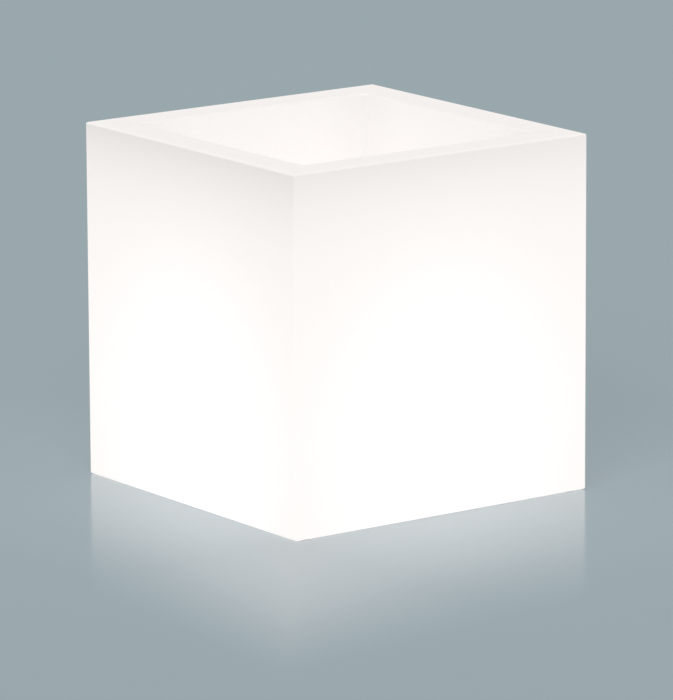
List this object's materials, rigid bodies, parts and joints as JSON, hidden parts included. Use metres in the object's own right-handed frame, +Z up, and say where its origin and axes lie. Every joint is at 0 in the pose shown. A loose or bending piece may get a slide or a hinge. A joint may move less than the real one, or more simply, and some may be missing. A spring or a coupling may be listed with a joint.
{
  "type": "lit cube planter",
  "caption": "Open-topped cube planter that glows from inside: matte white shell, lift-out liner, and a rechargeable LED module with push button and charging port in its base.",
  "frame": {"origin": "on the ground under the middle of the cube", "axes": "+Z up, -Y towards the front, +X to the right seen from the front"},
  "size_m": [0.4, 0.4, 0.405],
  "materials": {
    "shell_plastic": "fine satin of rotomoulded polyethylene",
    "liner_plastic": "fine satin of rotomoulded polyethylene",
    "foot_rubber": "matte moulded rubber",
    "insert_brass": "knurled brass",
    "housing_plastic": "fine spark-eroded moulding texture",
    "seal_silicone": "matte silicone",
    "screw_steel": "stainless steel",
    "spreader_aluminium": "turned aluminium",
    "led_board_mask": "white solder mask",
    "led_package": "white package with a phosphor window",
    "lens_clear": "clear polycarbonate",
    "cell_wrap": "shrink sleeve",
    "contact_nickel": "nickel-plated strip",
    "cradle_plastic": "black moulding",
    "board_mask": "green solder mask",
    "component_black": "moulded component bodies",
    "connector_plastic": "ivory nylon",
    "button_rubber": "soft matte cap",
    "switch_plastic": "black moulding",
    "socket_plastic": "black moulding",
    "door_plastic": "grey moulding",
    "battery_lead": "insulated lead",
    "led_lead": "insulated lead"
  },
  "bodies": {
    "base": {"outer_shell": "shell_plastic", "rubber_feet": "foot_rubber", "threaded_inserts": "insert_brass", "module_housing": "housing_plastic", "module_gasket": "seal_silicone", "module_screws": "screw_steel", "heat_spreader": "spreader_aluminium", "led_board": "led_board_mask", "led_chips": "led_package", "led_board_screws": "screw_steel", "lens_dome": "lens_clear", "lens_seal": "seal_silicone", "lens_ring": "housing_plastic", "lens_ring_screws": "screw_steel", "battery_cradle": "cradle_plastic", "battery_cells": "cell_wrap", "battery_contacts": "contact_nickel", "cradle_screws": "screw_steel", "control_board": "board_mask", "board_components": "component_black", "wire_connectors": "connector_plastic", "control_board_screws": "screw_steel", "tact_switch": "switch_plastic", "charge_socket": "socket_plastic", "socket_pin": "insert_brass", "door_pin": "screw_steel", "battery_leads": "battery_lead", "led_leads": "led_lead"},
    "liner": {"planter_liner": "liner_plastic"},
    "button": {"power_button": "button_rubber", "button_seal": "seal_silicone", "switch_plunger": "switch_plastic"},
    "door": {"port_door": "door_plastic", "door_seal": "seal_silicone"}
  },
  "joints": [
    {"name": "liner_lift", "type": "slide", "parent": "base", "child": "liner", "axis": [0, 0, 1], "range_m": [0, 0.25]},
    {"name": "button_press", "type": "slide", "parent": "base", "child": "button", "axis": [0, 0, 1], "range_m": [0, 0.001], "stiffness_N_per_m": 1500, "springref_m": -0.0005},
    {"name": "port_door_hinge", "type": "hinge", "parent": "base", "child": "door", "pos_m": [0.0155, -0.0124, 0.0105], "axis": [1, 0, 0], "range_deg": [0, 110]}
  ]
}
